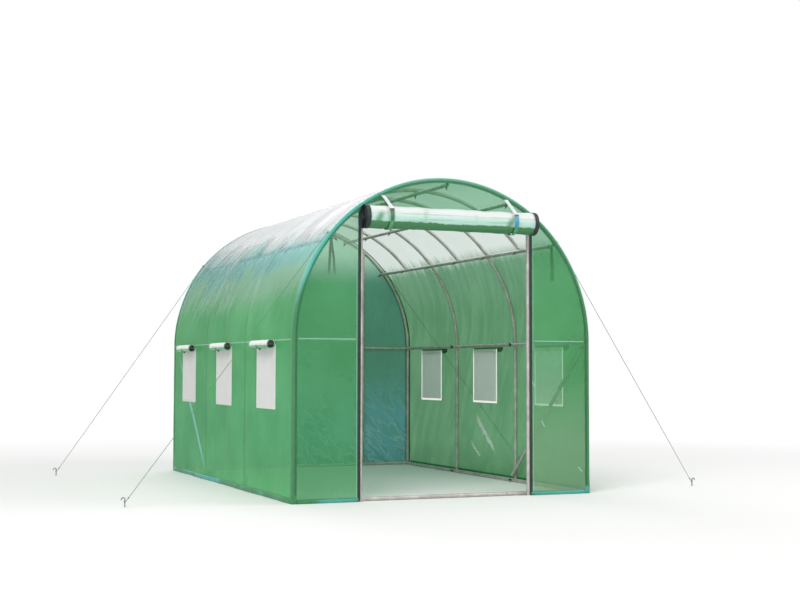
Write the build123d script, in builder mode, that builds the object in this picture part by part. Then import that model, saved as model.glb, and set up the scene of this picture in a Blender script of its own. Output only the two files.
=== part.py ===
from build123d import *
from math import asin, cos, degrees, radians, sin, sqrt
import os

# Polytunnel greenhouse: a steel tube frame under a film cover, with a roll-up door.
# Millimetres. +Z is up, the door faces -Y, and the origin is on the ground
# under the middle of the whole object, guy ropes and door roll included.

# Frame tubes
tube_od = 25.0
hoop_radius = 990.0
leg_height = 975.0
bay_length = 976.0
bay_count = 3
upper_purlin_angle = 63.9
shoulder_purlin_angle = 39.4
waist_drop = 5.5
door_post_x = 570.0
rear_post_x = 584.0
purlin_end_inset = 1.0
rib_end_overlap = 12.0
brace_rail_gap = 8.0
bent_tube_sides = 12

# Film cover
film_thickness = 2.0
hem_width = 30.0
hem_thickness = 1.5
hem_foot_gap = 6.0
zip_width = 25.0
zip_thickness = 1.5
zip_inner_x = 572.0
zip_foot_gap = 6.0

# Windows in the two side walls
window_size = 400.0
window_head_drop = 29.0
window_shift = 28.0
window_border = 18.0
window_border_proud = 1.0
window_roll_od = 54.0
window_roll_inset = 10.0
window_roll_rise = 2.0

# Door rolled up under the arch, in two strap loops
door_roll_radius = 78.0
door_roll_drop = 254.0
door_roll_gap = 4.0
door_roll_half_length = 578.0
door_roll_shift = -14.0
door_strap_reach = 419.0
door_strap_width = 25.0
door_strap_thickness = 1.5
door_strap_knot = 3.0
door_strap_tail = 40.0

# Ties that hang at the front shoulders
tie_width = 12.0
tie_thickness = 1.5
tie_length = 225.0
tie_lean = 4.0
tie_hoop_gap = 3.0

# Guy ropes and the pegs that hold them
rope_diameter = 4.0
rope_knot_diameter = 12.0
rope_knot_length = 10.0
rope_knot_gap = 0.9
rope_spread = 950.0
rope_ground_inset = 200.0
rope_ring_height = 32.0
peg_diameter = 8.0
peg_height = 44.0
peg_hook_radius = 10.0
rod_sides = 8

# Clearance between pieces that rest on each other
fit_gap = 0.3

# Sizes that follow from the ones above
tube_radius = tube_od / 2
frame_length = bay_length * bay_count
inside_radius = hoop_radius - tube_od - fit_gap
waist_height = leg_height - waist_drop
window_sill = leg_height - window_head_drop - window_size
window_roll_length = window_size - 2 * window_roll_inset
door_roll_height = leg_height + hoop_radius - door_roll_drop
rope_ground_x = hoop_radius + rope_spread
cover_inner_radius = hoop_radius + tube_radius + fit_gap
cover_outer_radius = cover_inner_radius + film_thickness
gable_reach = tube_radius + fit_gap + film_thickness
door_roll_offset = gable_reach + door_roll_gap + door_roll_radius
strap_reach = fit_gap + door_strap_thickness
front_reach = door_roll_offset + door_roll_radius + strap_reach
rear_reach = gable_reach + fit_gap + hem_thickness
front_y = (front_reach - rear_reach - frame_length) / 2
rear_y = front_y + frame_length
hoop_ys = [front_y + bay_length * number for number in range(bay_count + 1)]
base_z = tube_radius
rail_cut_radius = tube_radius + fit_gap


def upright(y):
    """The upright plane across the tunnel at y, seen from the door."""
    return Plane.XZ.offset(-y)


def arch_point(radius, angle, y):
    """A point on an arch of this radius, at an angle up from the right spring."""
    return Vector(radius * cos(radians(angle)), y, leg_height + radius * sin(radians(angle)))


def arch_height(radius, x):
    """How high an arch of this radius stands above x."""
    return leg_height + sqrt(radius**2 - x**2)


def add_tube(start, end, diameter=tube_od, mode=Mode.ADD):
    """A straight round bar from start to end."""
    run = Vector(end) - Vector(start)
    with BuildSketch(Plane(origin=start, z_dir=run)) as section:
        Circle(diameter / 2)
    extrude(section.sketch, amount=run.length, mode=mode)


def light_section(plane, radius, sides=bent_tube_sides):
    """The section of a bent tube, rod or rope, drawn with flat sides so that it stays light."""
    with BuildSketch(plane) as section:
        RegularPolygon(radius, sides, major_radius=False, rotation=180 / sides)
    return section.sketch


def bend_hoop(y, radius, mode=Mode.ADD):
    """A tube of this radius bent to the hoop line: leg, half circle, leg."""
    with BuildLine(upright(y)) as hoop_line:
        Line((-hoop_radius, 0), (-hoop_radius, leg_height))
        ThreePointArc((-hoop_radius, leg_height), (0, leg_height + hoop_radius), (hoop_radius, leg_height))
        Line((hoop_radius, leg_height), (hoop_radius, 0))
    section = light_section(Plane(origin=(-hoop_radius, y, 0)), radius)
    sweep(section, path=hoop_line.wires()[0], mode=mode)


def arch_face(radius, mode=Mode.ADD):
    """The face of a gable: straight sides up to the spring, then a half circle."""
    with BuildLine() as outline:
        Polyline((-radius, leg_height), (-radius, 0), (radius, 0), (radius, leg_height))
        ThreePointArc((radius, leg_height), (0, leg_height + radius), (-radius, leg_height))
    make_face(outline.edges(), mode=mode)


def write(part, name):
    """Label a finished piece and save it."""
    part.label = name
    export_step(part, f"parts/{name}.step")


os.makedirs("parts", exist_ok=True)

# Four hoops, one at each end of a bay
for hoop_y, hoop_name in zip(hoop_ys, ("front", "mid_front", "mid_rear", "rear")):
    with BuildPart() as hoop:
        bend_hoop(hoop_y, tube_radius)
    write(hoop.part, f"hoop_{hoop_name}")

# A lighter rib over the middle of each bay, ending on the shoulder purlins
rib_low = shoulder_purlin_angle - degrees(asin(rib_end_overlap / hoop_radius))
for hoop_y, rib_name in zip(hoop_ys, ("front", "middle", "rear")):
    rib_y = hoop_y + bay_length / 2
    with BuildPart() as roof_rib:
        with BuildLine(upright(rib_y)) as rib_line:
            CenterArc((0, leg_height), hoop_radius, rib_low, 180 - 2 * rib_low)
        rib_path = rib_line.wires()[0]
        rib_end = Plane(origin=rib_path @ 0, x_dir=(0, 1, 0), z_dir=rib_path % 0)
        sweep(light_section(rib_end, tube_radius), path=rib_path)
    write(roof_rib.part, f"roof_rib_{rib_name}")

# Five purlins run the whole length inside the hoops
purlin_angles = {
    "shoulder_purlin_right": shoulder_purlin_angle,
    "upper_purlin_right": upper_purlin_angle,
    "ridge_purlin": 90.0,
    "upper_purlin_left": 180.0 - upper_purlin_angle,
    "shoulder_purlin_left": 180.0 - shoulder_purlin_angle,
}
purlin_front = front_y - tube_radius + purlin_end_inset
purlin_rear = rear_y + tube_radius - purlin_end_inset
for purlin_name, purlin_angle in purlin_angles.items():
    with BuildPart() as purlin:
        add_tube(
            arch_point(inside_radius, purlin_angle, purlin_front),
            arch_point(inside_radius, purlin_angle, purlin_rear),
        )
    write(purlin.part, purlin_name)

# Posts of each gable stand on the ground and are coped to the hoop
gables = {
    "front": (front_y, 1, door_post_x),
    "rear": (rear_y, -1, rear_post_x),
}
for gable_name, (gable_y, inward, post_x) in gables.items():
    post_name = "door_post" if gable_name == "front" else "rear_post"
    for side_name, side in (("left", -1), ("right", 1)):
        with BuildPart() as post:
            add_tube((side * post_x, gable_y, 0), (side * post_x, gable_y, arch_height(hoop_radius, post_x)))
            bend_hoop(gable_y, rail_cut_radius, mode=Mode.SUBTRACT)
        write(post.part, f"{post_name}_{side_name}")

    # Short rails at waist height, coped to the leg and to the post
    with BuildPart() as gable_rails:
        for side in (-1, 1):
            leg_foot = (side * hoop_radius, gable_y, waist_height)
            post_foot = (side * post_x, gable_y, waist_height)
            add_tube(leg_foot, post_foot)
            cut_low = (side * post_x, gable_y, waist_height - tube_od)
            cut_high = (side * post_x, gable_y, waist_height + tube_od)
            add_tube(cut_low, cut_high, 2 * rail_cut_radius, Mode.SUBTRACT)
        bend_hoop(gable_y, rail_cut_radius, mode=Mode.SUBTRACT)
    write(gable_rails.part, f"gable_rails_{gable_name}")

    # The rail across the foot of the gable, coped to the two side base rails
    cross_y = gable_y + inward * (tube_od + fit_gap)
    with BuildPart() as cross_rail:
        add_tube((-inside_radius, cross_y, base_z), (inside_radius, cross_y, base_z))
        for side in (-1, 1):
            cut_front = (side * inside_radius, cross_y - tube_od, base_z)
            cut_rear = (side * inside_radius, cross_y + tube_od, base_z)
            add_tube(cut_front, cut_rear, 2 * rail_cut_radius, Mode.SUBTRACT)
    write(cross_rail.part, f"base_rail_{gable_name}")

# Rails and braces of the two side walls, all inside the hoop legs
brace_drop = tube_od + brace_rail_gap
brace_top = waist_height - brace_drop
brace_foot = base_z + brace_drop
sides = {
    "left": (-1, hoop_ys[-1], hoop_ys[-2]),
    "right": (1, hoop_ys[0], hoop_ys[1]),
}
for side_name, (side, brace_top_y, brace_foot_y) in sides.items():
    rail_x = side * inside_radius
    with BuildPart() as waist_rail:
        add_tube((rail_x, front_y, waist_height), (rail_x, rear_y, waist_height))
        for gable_y in (front_y, rear_y):
            cut_left = (rail_x - tube_od, gable_y, waist_height)
            cut_right = (rail_x + tube_od, gable_y, waist_height)
            add_tube(cut_left, cut_right, 2 * rail_cut_radius, Mode.SUBTRACT)
    write(waist_rail.part, f"waist_rail_{side_name}")

    with BuildPart() as base_rail:
        add_tube((rail_x, purlin_front, base_z), (rail_x, purlin_rear, base_z))
    write(base_rail.part, f"base_rail_{side_name}")

    with BuildPart() as side_brace:
        add_tube((rail_x, brace_top_y, brace_top), (rail_x, brace_foot_y, brace_foot))
    write(side_brace.part, f"side_brace_{side_name}")

# Side walls of film, with a square opening for a window in each bay
cover_front = front_y - gable_reach
cover_rear = rear_y + gable_reach
cover_length = cover_rear - cover_front
cover_middle = (cover_front + cover_rear) / 2
window_centre_z = window_sill + window_size / 2
window_ys = [hoop_y + bay_length / 2 + window_shift for hoop_y in hoop_ys[:-1]]
window_spots = [(window_y, window_centre_z) for window_y in window_ys]
for side_name, side in (("left", -1), ("right", 1)):
    wall_plane = Plane.YZ.offset(side * cover_inner_radius)
    with BuildPart() as cover_wall:
        with BuildSketch(wall_plane):
            with Locations((cover_middle, leg_height / 2)):
                Rectangle(cover_length, leg_height)
            with Locations(window_spots):
                Rectangle(window_size, window_size, mode=Mode.SUBTRACT)
        extrude(amount=side * film_thickness)
    write(cover_wall.part, f"cover_wall_{side_name}")

    # Each window is a mesh panel with a raised border of tape
    mesh_size = window_size - 2 * fit_gap
    with BuildPart() as windows:
        with BuildSketch(wall_plane):
            with Locations(window_spots):
                Rectangle(mesh_size, mesh_size)
        extrude(amount=side * film_thickness)
        with BuildSketch(wall_plane.offset(side * film_thickness)):
            with Locations(window_spots):
                Rectangle(mesh_size, mesh_size)
                Rectangle(mesh_size - 2 * window_border, mesh_size - 2 * window_border, mode=Mode.SUBTRACT)
        extrude(amount=side * window_border_proud)
    write(windows.part, f"windows_{side_name}")

    # The flap of each window is rolled up above it, outside
    roll_reach = cover_outer_radius + window_border_proud + fit_gap + window_roll_od / 2
    roll_z = window_sill + window_size + window_roll_rise
    with BuildPart() as window_rolls:
        for window_y in window_ys:
            roll_front = (side * roll_reach, window_y - window_roll_length / 2, roll_z)
            roll_rear = (side * roll_reach, window_y + window_roll_length / 2, roll_z)
            add_tube(roll_front, roll_rear, window_roll_od)
    write(window_rolls.part, f"window_rolls_{side_name}")

# The roof of the cover, in four curved strips from spring to spring
roof_strips = ("cover_shoulder_right", "cover_crown_right", "cover_crown_left", "cover_shoulder_left")
strip_angle = 180.0 / len(roof_strips)
for number, strip_name in enumerate(roof_strips):
    strip_start = number * strip_angle
    with BuildPart() as roof_strip:
        with BuildSketch(upright(cover_rear)):
            with BuildLine():
                inner_arc = CenterArc((0, leg_height), cover_inner_radius, strip_start, strip_angle)
                outer_arc = CenterArc((0, leg_height), cover_outer_radius, strip_start, strip_angle)
                Line(inner_arc @ 0, outer_arc @ 0)
                Line(inner_arc @ 1, outer_arc @ 1)
            make_face()
        extrude(amount=cover_length)
    write(roof_strip.part, strip_name)

# The closed film gable at the rear
gable_film_rear = rear_y + tube_radius + fit_gap
gable_film_front = front_y - tube_radius - fit_gap
gable_film_radius = cover_inner_radius - fit_gap
with BuildPart() as cover_rear_panel:
    with BuildSketch(upright(gable_film_rear)):
        arch_face(gable_film_radius)
    extrude(amount=-film_thickness)
write(cover_rear_panel.part, "cover_rear")

# The film gable at the door: a panel beside each post, and a crown above the door
seam_x = zip_inner_x + zip_width / 2
crown_foot = door_roll_height
for panel_name, panel_low_x, panel_high_x, panel_foot in (
    ("cover_front_left", -gable_film_radius, -seam_x, 0.0),
    ("cover_front_top", -seam_x, seam_x, crown_foot),
    ("cover_front_right", seam_x, gable_film_radius, 0.0),
):
    panel_top = leg_height + gable_film_radius
    with BuildPart() as front_panel:
        with BuildSketch(upright(gable_film_front)):
            arch_face(gable_film_radius)
            with Locations(((panel_low_x + panel_high_x) / 2, (panel_foot + panel_top) / 2)):
                Rectangle(panel_high_x - panel_low_x, panel_top - panel_foot, mode=Mode.INTERSECT)
        extrude(amount=film_thickness)
    write(front_panel.part, panel_name)

# A hem of doubled film round the edge of each gable
hem_inner_radius = cover_outer_radius - hem_width
hem_planes = {
    "front": (upright(cover_front - fit_gap), 1),
    "rear": (upright(cover_rear + fit_gap), -1),
}
for hem_name, (hem_plane, hem_out) in hem_planes.items():
    with BuildPart() as arch_hem:
        with BuildSketch(hem_plane):
            arch_face(cover_outer_radius)
            arch_face(hem_inner_radius, mode=Mode.SUBTRACT)
            with Locations((0, hem_foot_gap / 2)):
                Rectangle(2 * cover_outer_radius, hem_foot_gap, mode=Mode.SUBTRACT)
        extrude(amount=hem_out * hem_thickness)
    write(arch_hem.part, f"arch_hem_{hem_name}")

# The two zip tapes that the door closes with, from near the ground up to the hem
zip_top = arch_height(hem_inner_radius, zip_inner_x + zip_width) - fit_gap
with BuildPart() as door_zips:
    with BuildSketch(upright(cover_front - fit_gap)):
        with Locations(*[(side * seam_x, (zip_foot_gap + zip_top) / 2) for side in (-1, 1)]):
            Rectangle(zip_width, zip_top - zip_foot_gap)
    extrude(amount=zip_thickness)
write(door_zips.part, "door_zips")

# The rolled-up door
door_roll_y = front_y - door_roll_offset
with BuildPart() as door_roll:
    roll_left = (door_roll_shift - door_roll_half_length, door_roll_y, door_roll_height)
    roll_right = (door_roll_shift + door_roll_half_length, door_roll_y, door_roll_height)
    add_tube(roll_left, roll_right, 2 * door_roll_radius)
write(door_roll.part, "door_roll")

# A strap near each end hangs from the hem, round the front and the underside of the roll,
# and ends behind it
knot_y = cover_front - 2 * fit_gap - hem_thickness - door_strap_knot
tail_low = door_roll_height + door_strap_tail
with BuildPart() as door_straps:
    for strap_x in (door_roll_shift - door_strap_reach, door_roll_shift + door_strap_reach):
        strap_start = Plane.YZ.offset(strap_x - door_strap_width / 2)
        knot_z = arch_height(hem_inner_radius + door_strap_knot, strap_x)
        for thickness, strap_mode in ((door_strap_thickness, Mode.ADD), (0.0, Mode.SUBTRACT)):
            with BuildSketch(strap_start):
                with Locations((door_roll_y, door_roll_height)):
                    Circle(door_roll_radius + fit_gap + thickness)
                with Locations((knot_y, knot_z)):
                    Circle(door_strap_knot - door_strap_thickness + thickness)
                make_hull()
            extrude(amount=door_strap_width, mode=strap_mode)
        with BuildSketch(strap_start):
            with Locations((door_roll_y + door_roll_radius, (tail_low + knot_z) / 2)):
                Rectangle(4 * door_strap_knot, knot_z - tail_low - 4 * door_strap_knot)
        extrude(amount=door_strap_width, mode=Mode.SUBTRACT)
write(door_straps.part, "door_straps")

# A tie knotted round each shoulder purlin beside the front hoop, its two ends hanging
tie_front = front_y + tube_radius + tie_hoop_gap
band_radius = tube_radius + fit_gap
with BuildPart() as shoulder_ties:
    for side_angle in (shoulder_purlin_angle, 180.0 - shoulder_purlin_angle):
        tie_centre = arch_point(inside_radius, side_angle, tie_front)
        with BuildSketch(upright(tie_front + tie_width)):
            with Locations((tie_centre.X, tie_centre.Z)):
                Circle(band_radius + tie_thickness)
                Circle(band_radius, mode=Mode.SUBTRACT)
        extrude(amount=tie_width)
        with BuildSketch(upright(tie_front + tie_thickness)):
            for lean in (-tie_lean, tie_lean):
                with Locations(Location((tie_centre.X, tie_centre.Z, 0), (0, 0, lean))):
                    with Locations((0, -tie_length / 2)):
                        Rectangle(tie_width, tie_length)
            with Locations((tie_centre.X, tie_centre.Z)):
                Circle(band_radius, mode=Mode.SUBTRACT)
        extrude(amount=tie_thickness)
write(shoulder_ties.part, "shoulder_ties")

# Pegs in the ground beside the tunnel, each with a hook turned away from it
peg_ys = (front_y + rope_ground_inset, rear_y - rope_ground_inset)
with BuildPart() as guy_pegs:
    for peg_y in peg_ys:
        for side in (-1, 1):
            hook_out = side * peg_hook_radius
            with BuildLine(upright(peg_y)) as peg_line:
                Line((side * rope_ground_x, 0), (side * rope_ground_x, peg_height))
                ThreePointArc(
                    (side * rope_ground_x, peg_height),
                    (side * rope_ground_x + hook_out, peg_height + peg_hook_radius),
                    (side * rope_ground_x + 2 * hook_out, peg_height),
                )
            rod = light_section(Plane(origin=(side * rope_ground_x, peg_y, 0)), peg_diameter / 2, rod_sides)
            sweep(rod, path=peg_line.wires()[0])
write(guy_pegs.part, "guy_pegs")

# Taut ropes from a knot on each end hoop's shoulder to a ring round each peg
rope_radius = rope_diameter / 2
knot_radius = rope_knot_diameter / 2
ring_bore_radius = peg_diameter / 2 + fit_gap
with BuildPart() as guy_ropes:
    for peg_y, gable_y in zip(peg_ys, (front_y, rear_y)):
        for side_angle in (shoulder_purlin_angle, 180.0 - shoulder_purlin_angle):
            knot = arch_point(cover_outer_radius + rope_knot_gap + knot_radius, side_angle, gable_y)
            peg_centre = Vector(rope_ground_x if knot.X > 0 else -rope_ground_x, peg_y, rope_ring_height)
            level_run = Vector(knot.X - peg_centre.X, knot.Y - peg_centre.Y, 0)
            rope_foot = peg_centre + level_run.normalized() * (ring_bore_radius + rope_radius)
            rope_run = rope_foot - knot
            knot_plane = Plane(origin=knot, z_dir=rope_run)
            extrude(light_section(knot_plane, rope_radius, rod_sides), amount=rope_run.length)
            extrude(light_section(knot_plane, knot_radius, rod_sides), amount=rope_knot_length)
            ring_plane = Plane(peg_centre).offset(-rope_radius)
            ring_outline = light_section(ring_plane, ring_bore_radius + rope_diameter, rod_sides)
            ring_bore = light_section(ring_plane, ring_bore_radius, rod_sides)
            extrude(ring_outline - ring_bore, amount=rope_diameter)
write(guy_ropes.part, "guy_ropes")
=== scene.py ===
import math

import bmesh
import bpy
import numpy as np
from mathutils import Matrix, Vector


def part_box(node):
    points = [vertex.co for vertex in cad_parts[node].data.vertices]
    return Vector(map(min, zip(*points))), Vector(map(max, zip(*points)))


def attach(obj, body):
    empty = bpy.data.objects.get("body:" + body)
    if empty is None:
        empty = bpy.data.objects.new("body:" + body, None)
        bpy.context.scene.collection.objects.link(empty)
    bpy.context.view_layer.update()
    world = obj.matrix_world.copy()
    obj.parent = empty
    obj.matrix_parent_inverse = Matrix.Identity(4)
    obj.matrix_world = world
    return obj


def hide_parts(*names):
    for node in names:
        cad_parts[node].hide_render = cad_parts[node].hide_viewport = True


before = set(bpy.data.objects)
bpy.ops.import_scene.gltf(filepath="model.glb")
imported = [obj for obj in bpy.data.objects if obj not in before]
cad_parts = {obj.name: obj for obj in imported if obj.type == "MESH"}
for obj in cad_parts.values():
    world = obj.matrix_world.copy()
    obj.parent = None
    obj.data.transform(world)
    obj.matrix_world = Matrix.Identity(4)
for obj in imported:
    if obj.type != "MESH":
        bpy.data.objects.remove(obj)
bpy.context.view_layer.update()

# Polytunnel greenhouse: steel tubes, wing nuts, a green film cover with mesh windows, and a door
# rolled up in two straps. Metres, +Z up, the door faces -Y.

X, Y, Z = range(3)
SIDES = (("left", -1), ("right", 1))
HOOPS = ("front", "mid_front", "mid_rear", "rear")
RIBS = ("front", "middle", "rear")


def middle(node, axis):
    """The middle of a node's box along an axis."""
    return sum(corner[axis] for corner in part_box(node)) / 2


# Sizes read from the frame
hoop_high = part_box("hoop_front")[1]
post_low, post_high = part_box("door_post_left")
wall_low, wall_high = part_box("cover_wall_left")
roll_low, roll_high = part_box("door_roll")
zips_low, zips_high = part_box("door_zips")
ridge_low, ridge_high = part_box("ridge_purlin")
window_low, window_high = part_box("windows_left")
flap_low, flap_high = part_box("window_rolls_left")
straps_low, straps_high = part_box("door_straps")
tube_radius = (post_high.x - post_low.x) / 2
roll_radius = (roll_high.z - roll_low.z) / 2
flap_radius = (flap_high.z - flap_low.z) / 2
hoop_radius = hoop_high.x - tube_radius
leg_height = hoop_high.z - hoop_radius - tube_radius
hoop_ys = [middle(f"hoop_{place}", Y) for place in HOOPS]
rib_ys = [middle(f"roof_rib_{place}", Y) for place in RIBS]
front_y, rear_y = hoop_ys[0], hoop_ys[-1]
bay = hoop_ys[1] - hoop_ys[0]
inside_radius = ridge_low.z + tube_radius - leg_height
cover_radius = abs(middle("cover_wall_left", X))
cover_front, cover_rear = wall_low.y, wall_high.y
purlin_front, purlin_rear = ridge_low.y, ridge_high.y
shoulder_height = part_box("shoulder_purlin_left")[0].z + tube_radius - leg_height
upper_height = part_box("upper_purlin_left")[0].z + tube_radius - leg_height
shoulder_angle = math.asin(shoulder_height / inside_radius)
upper_angle = math.asin(upper_height / inside_radius)
waist_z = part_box("waist_rail_left")[0].z + tube_radius
base_z = tube_radius
door_post_x = abs(middle("door_post_left", X))
rear_post_x = abs(middle("rear_post_left", X))
roll_x, roll_y, roll_z = (middle("door_roll", axis) for axis in (X, Y, Z))
flap_x, flap_z = abs(middle("window_rolls_left", X)), middle("window_rolls_left", Z)

# The camera stands low, to the left of the door
camera_turn = tuple(math.radians(turn) for turn in (92.918, -0.111, -22.794))
bpy.ops.object.camera_add(location=(-3.5474, -9.0850, 0.7905), rotation=camera_turn)
camera = bpy.context.active_object
camera.data.lens = 61.57
camera.data.sensor_width = 36.0
bpy.context.scene.camera = camera


# Materials

def operation(kind, swapped=False):
    """A method that puts a Math node of this kind on a value and the numbers given with it."""
    def method(value, *others):
        numbers = (*others, value) if swapped else (value, *others)
        return value.recipe.node("Math", dict(enumerate(numbers)), operation=kind)
    return method


class Value:
    """A node's output that takes part in sums, so that a pattern is written as arithmetic."""

    __add__, __radd__ = operation("ADD"), operation("ADD", swapped=True)
    __sub__, __rsub__ = operation("SUBTRACT"), operation("SUBTRACT", swapped=True)
    __mul__, __rmul__ = operation("MULTIPLY"), operation("MULTIPLY", swapped=True)
    __truediv__, __pow__, __abs__ = operation("DIVIDE"), operation("POWER"), operation("ABSOLUTE")
    least, most, sine = operation("MINIMUM"), operation("MAXIMUM"), operation("SINE")

    def __init__(self, recipe, socket):
        self.recipe = recipe
        self.socket = socket

    def between(self, low, high):
        """0 below low, 1 above high, and a smooth step from one to the other."""
        inputs = {"Value": self, "From Min": low, "From Max": high}
        return self.recipe.node("MapRange", inputs, interpolation_type="SMOOTHSTEP")

    def fading(self, low, high):
        """1 below low and 0 above high."""
        return 1.0 - self.between(low, high)

    def near(self, place, inner, outer):
        """1 as near to a place as inner, and 0 further off than outer."""
        return abs(self - place).fading(inner, outer)


class Recipe:
    """The nodes of a material, or of the world, which are called its owner."""

    def __init__(self, owner):
        self.owner = bpy.data.materials.new(owner) if isinstance(owner, str) else owner
        self.owner.use_nodes = True
        self.tree = self.owner.node_tree
        self.tree.nodes.clear()

    def node(self, kind, inputs=None, output=0, **settings):
        """Adds a node with its settings and with a value, a colour or a link on each input."""
        made = self.tree.nodes.new("ShaderNode" + kind)
        for setting, value in settings.items():
            setattr(made, setting, value)
        for name, value in (inputs or {}).items():
            if isinstance(value, Value):
                self.tree.links.new(value.socket, made.inputs[name])
            else:
                colour = isinstance(value, tuple)
                made.inputs[name].default_value = (*value, 1.0) if colour else value
        return Value(self, made.outputs[output])

    def outputs(self, kind, names, inputs=None):
        """Several outputs of one new node."""
        sockets = self.node(kind, inputs).socket.node.outputs
        return [Value(self, sockets[name]) for name in names]

    def along(self):
        """The X, Y and Z of a point of the piece."""
        place = self.node("TexCoord", output="Object")
        return self.outputs("SeparateXYZ", "XYZ", {"Vector": place})

    def inside(self):
        """1 on the back of a surface, which is the inner side of the film, and 0 on its front."""
        return self.node("NewGeometry", output="Backfacing")

    def noise(self, scale, stretch=(1, 1, 1), lean=0.0, detail=3.0, roughness=0.55, distortion=0.0):
        """Cloudy noise from 0 to 1, finer by the stretch on each axis, its Y leaning upwards."""
        x, y, z = self.along()
        place = {"X": x * stretch[X], "Y": (y + z * lean) * stretch[Y], "Z": z * stretch[Z]}
        inputs = {"Vector": self.node("CombineXYZ", place), "Scale": scale, "Detail": detail,
                  "Roughness": roughness, "Distortion": distortion}
        return self.node("TexNoise", inputs)

    def blend(self, share, low, high):
        """The colour low where share is 0, high where it is 1."""
        return self.node("Mix", {0: share, 6: low, 7: high}, 2, data_type="RGBA")

    def layers(self, base, *marks):
        """A base colour with others laid over it in turn, each with its share from 0 to 1."""
        for share, colour in marks:
            base = self.blend(share, base, colour)
        return base

    def bump(self, height, distance):
        """A surface that stands out by distance where height is 1."""
        return self.node("Bump", {"Height": height, "Distance": distance, "Strength": 1.0})

    def surface(self, base, roughness, relief, more=None):
        """The Principled shader with this colour, roughness, relief and more."""
        inputs = {"Base Color": base, "Roughness": roughness, "Normal": relief}
        return self.node("BsdfPrincipled", inputs | (more or {}))

    def mix(self, share, first, second):
        """The first shader where share is 0, the second where it is 1."""
        return self.node("MixShader", {0: share, 1: first, 2: second})

    def finish(self, shader, kind="Material"):
        """Puts the shader on the owner and hands the owner over."""
        out = self.tree.nodes.new("ShaderNodeOutput" + kind)
        self.tree.links.new(shader.socket, out.inputs["Surface"])
        return self.owner


def straight_mark(across, up, first, last, width):
    """1 on a straight mark from first to last over two coordinates, 0 off it."""
    run = Vector(last) - Vector(first)
    length = run.length
    ahead, side = run / length, Vector((-run.y, run.x)) / length
    along = across * ahead.x + up * ahead.y - Vector(first).dot(ahead)
    off = across * side.x + up * side.y - Vector(first).dot(side)
    ends = along.near(length / 2, length * 0.25, length * 0.5)
    return ends * abs(off).fading(width * 0.2, width * 0.6)


def galvanised_steel():
    """Tube steel with a zinc coat: light grey, cloudy, with a dull gloss and fine scratches."""
    recipe = Recipe("galvanised_steel")
    clouds = recipe.noise(16.0, detail=4.0)
    grain = recipe.noise(160.0, stretch=(1, 1, 0.15))
    scratches = recipe.noise(420.0, stretch=(1, 1, 0.03), detail=2.0)
    share = (clouds * 0.7 + grain * 0.3).between(0.3, 0.75)
    base = recipe.blend(share, (0.40, 0.375, 0.345), (0.66, 0.63, 0.59))
    relief = recipe.bump(grain * 0.4 + scratches * 0.6, 0.0002)
    return recipe.finish(recipe.surface(base, 0.30 + clouds * 0.22, relief, {"Metallic": 0.45}))


def film(recipe, body, tint, cover, slanted, dull, relief):
    """Clear tinted film with some solid colour, milkier outside where seen at a slant."""
    facing = recipe.node("LayerWeight", {"Blend": 0.5}, "Facing")
    slant = facing ** 3.0 * (1.0 - recipe.inside() * 0.85) * slanted
    solid = recipe.surface(body, dull, relief, {"Specular IOR Level": 0.25})
    clear = recipe.node("BsdfTransparent", {"Color": tint})
    return recipe.finish(recipe.mix((slant + cover).least(1.0), clear, solid))


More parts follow.
